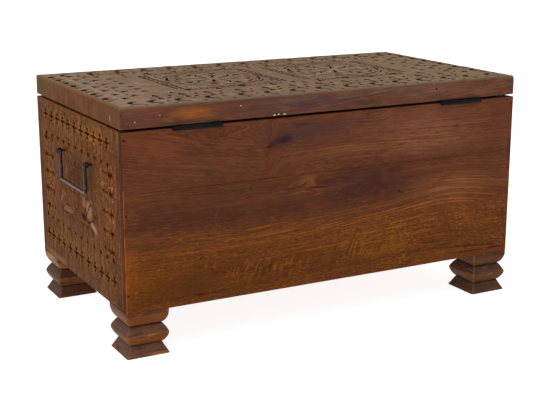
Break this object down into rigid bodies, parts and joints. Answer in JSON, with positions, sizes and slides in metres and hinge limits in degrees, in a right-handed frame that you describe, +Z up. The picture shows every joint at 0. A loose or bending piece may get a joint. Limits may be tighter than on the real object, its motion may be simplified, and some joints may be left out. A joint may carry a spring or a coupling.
{
  "type": "wooden storage chest",
  "caption": "Low carved wooden storage chest on cut block feet, with a hinged lid and a drop bail handle on each end.",
  "frame": {"origin": "on the floor, under the middle of the whole chest with its hinge barrels", "axes": "+X along the length to the right end, +Y to the back, where the hinges are, +Z up"},
  "size_m": [0.9332, 0.5062, 0.481],
  "materials": {
    "carved_lid_wood": "dry satin, chip carved",
    "carved_panel_wood": "satin, chip carved",
    "plain_wood": "satin varnish over grain",
    "foot_wood": "worn satin",
    "inner_wood": "bare, dry",
    "pad_leather": "matte",
    "hinge_iron": "black, dull",
    "handle_iron": "blackened, worn smooth",
    "fastener_iron": "dark, dull"
  },
  "bodies": {
    "case": {"back_board_lower": "plain_wood", "back_board_upper": "plain_wood", "back_dowels": "inner_wood", "corner_nails": "fastener_iron", "end_panel_left": "carved_panel_wood", "end_panel_right": "carved_panel_wood", "floor_board_1": "inner_wood", "floor_board_2": "inner_wood", "floor_board_3": "inner_wood", "floor_board_4": "inner_wood", "floor_board_5": "inner_wood", "floor_board_6": "inner_wood", "floor_nails": "fastener_iron", "foot_front_left": "foot_wood", "foot_front_right": "foot_wood", "foot_rear_left": "foot_wood", "foot_rear_right": "foot_wood", "foot_screws": "fastener_iron", "front_panel": "carved_panel_wood", "handle_staple_left_front": "handle_iron", "handle_staple_left_rear": "handle_iron", "handle_staple_right_front": "handle_iron", "handle_staple_right_rear": "handle_iron", "hinge_body_leaf_left": "hinge_iron", "hinge_body_leaf_right": "hinge_iron", "hinge_body_screws": "fastener_iron", "hinge_pin_left": "hinge_iron", "hinge_pin_right": "hinge_iron"},
    "lid": {"hinge_lid_leaf_left": "hinge_iron", "hinge_lid_leaf_right": "hinge_iron", "hinge_lid_screws": "fastener_iron", "lid_batten_left": "inner_wood", "lid_batten_right": "inner_wood", "lid_batten_screws": "fastener_iron", "lid_corner_nails": "fastener_iron", "lid_dowels": "inner_wood", "lid_plank_front": "carved_lid_wood", "lid_plank_middle": "carved_lid_wood", "lid_plank_rear": "carved_lid_wood", "lid_rest_pads": "pad_leather", "lid_rim_front": "plain_wood", "lid_rim_left": "plain_wood", "lid_rim_rear": "plain_wood", "lid_rim_right": "plain_wood"},
    "handle_left": {"handle_bail_left": "handle_iron"},
    "handle_right": {"handle_bail_right": "handle_iron"}
  },
  "joints": [
    {"name": "lid_hinge", "type": "hinge", "parent": "case", "child": "lid", "pos_m": [0, 0.24865, 0.436], "axis": [-1, 0, 0], "range_deg": [0, 190]},
    {"name": "handle_right_swing", "type": "hinge", "parent": "case", "child": "handle_right", "pos_m": [0.46, -0.00165, 0.3465], "axis": [0, -1, 0], "range_deg": [-5, 185]},
    {"name": "handle_left_swing", "type": "hinge", "parent": "case", "child": "handle_left", "pos_m": [-0.46, -0.00165, 0.3465], "axis": [0, 1, 0], "range_deg": [-5, 185]}
  ]
}
